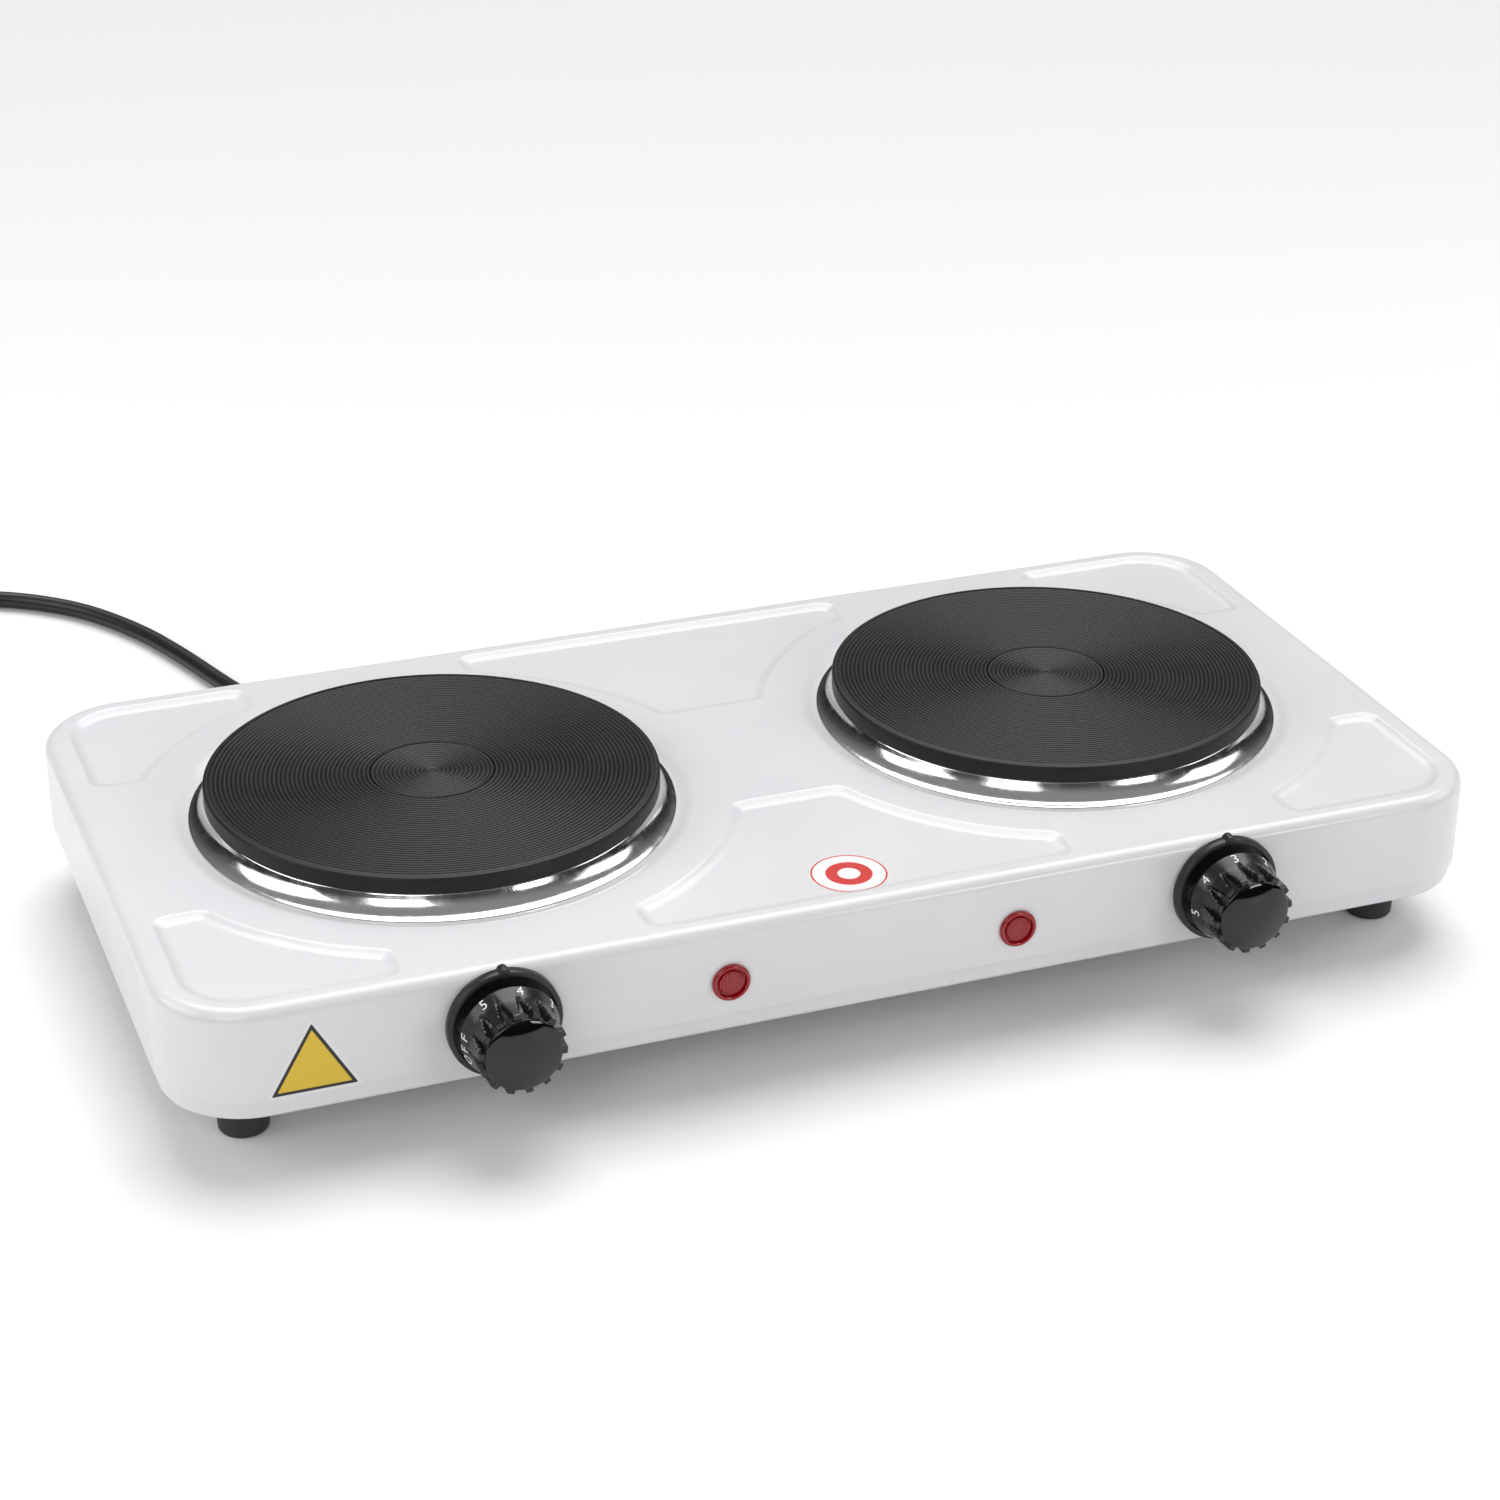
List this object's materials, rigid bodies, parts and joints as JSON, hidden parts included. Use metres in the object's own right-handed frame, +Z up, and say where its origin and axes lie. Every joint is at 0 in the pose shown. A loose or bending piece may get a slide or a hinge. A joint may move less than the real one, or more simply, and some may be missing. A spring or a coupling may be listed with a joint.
{
  "type": "hot plate burner",
  "caption": "Electric table hot plate: a pressed steel case with cast-iron solid plates on top, a thermostat dial and pilot lamp for each on the front, rubber feet and a mains cord.",
  "frame": {"origin": "on the worktop, below the middle of the case and its dials", "axes": "+Z up, +X along the case to the user's right, -Y towards the user, where the dials are"},
  "size_m": [0.663, 0.5984, 0.084],
  "materials": {
    "enamel_white": "gloss enamel",
    "zinc_steel": "zinc plated",
    "foot_rubber": "moulded",
    "plate_iron": "turned, satin black coating",
    "stainless": "polished",
    "ceramic": "unglazed",
    "brass": "plain",
    "knob_black": "moulded, satin skirt and gloss cap",
    "bezel_black": "moulded",
    "lens_red": "clear red, ribbed inside",
    "bulb_glass": "clear",
    "block_plastic": "moulded",
    "cord_black": "smooth sheath",
    "tie_black": "moulded",
    "plug_black": "moulded",
    "lead_brown": "insulated wire",
    "lead_blue": "insulated wire",
    "lead_green": "insulated wire",
    "label_yellow": "printed film",
    "label_white": "printed film"
  },
  "bodies": {
    "housing": {"top_cover": "enamel_white", "bottom_pan": "enamel_white", "pan_brackets": "zinc_steel", "pan_screws": "zinc_steel", "foot_front_left": "foot_rubber", "foot_front_right": "foot_rubber", "foot_rear_left": "foot_rubber", "foot_rear_right": "foot_rubber", "foot_screws": "zinc_steel", "foot_nuts": "zinc_steel", "left_plate": "plate_iron", "left_trim_ring": "stainless", "left_heater_core": "ceramic", "left_plate_closure": "zinc_steel", "left_terminal_block": "ceramic", "left_clamp_bridge": "zinc_steel", "left_thermostat": "ceramic", "left_thermostat_bracket": "zinc_steel", "left_thermostat_blades": "brass", "left_bezel": "bezel_black", "left_lamp_lens": "lens_red", "left_lamp_clip": "zinc_steel", "left_neon_bulb": "bulb_glass", "right_plate": "plate_iron", "right_trim_ring": "stainless", "right_heater_core": "ceramic", "right_plate_closure": "zinc_steel", "right_terminal_block": "ceramic", "right_clamp_bridge": "zinc_steel", "right_thermostat": "ceramic", "right_thermostat_bracket": "zinc_steel", "right_thermostat_blades": "brass", "right_bezel": "bezel_black", "right_lamp_lens": "lens_red", "right_lamp_clip": "zinc_steel", "right_neon_bulb": "bulb_glass", "terminal_screws": "brass", "plate_studs": "zinc_steel", "plate_nuts": "zinc_steel", "thermostat_screws": "zinc_steel", "strain_relief": "cord_black", "cord_inner_end": "cord_black", "mains_block": "block_plastic", "mains_block_screws": "brass", "earth_screw": "brass", "live_leads": "lead_brown", "neutral_leads": "lead_blue", "switched_leads": "lead_brown", "earth_lead": "lead_green", "heat_label": "label_yellow", "touch_label": "label_white", "power_cord": "cord_black", "cord_coil": "cord_black", "coil_tie": "tie_black", "plug_body": "plug_black", "plug_pins": "brass"},
    "left_dial": {"left_knob": "knob_black", "left_spindle": "zinc_steel"},
    "right_dial": {"right_knob": "knob_black", "right_spindle": "zinc_steel"}
  },
  "joints": [
    {"name": "left_dial_turn", "type": "hinge", "parent": "housing", "child": "left_dial", "pos_m": [-0.1514, -0.12475, 0.0482], "axis": [0, 1, 0], "range_deg": [-263, 37]},
    {"name": "right_dial_turn", "type": "hinge", "parent": "housing", "child": "right_dial", "pos_m": [0.1514, -0.12475, 0.0482], "axis": [0, 1, 0], "range_deg": [-199.5, 100.5]}
  ]
}
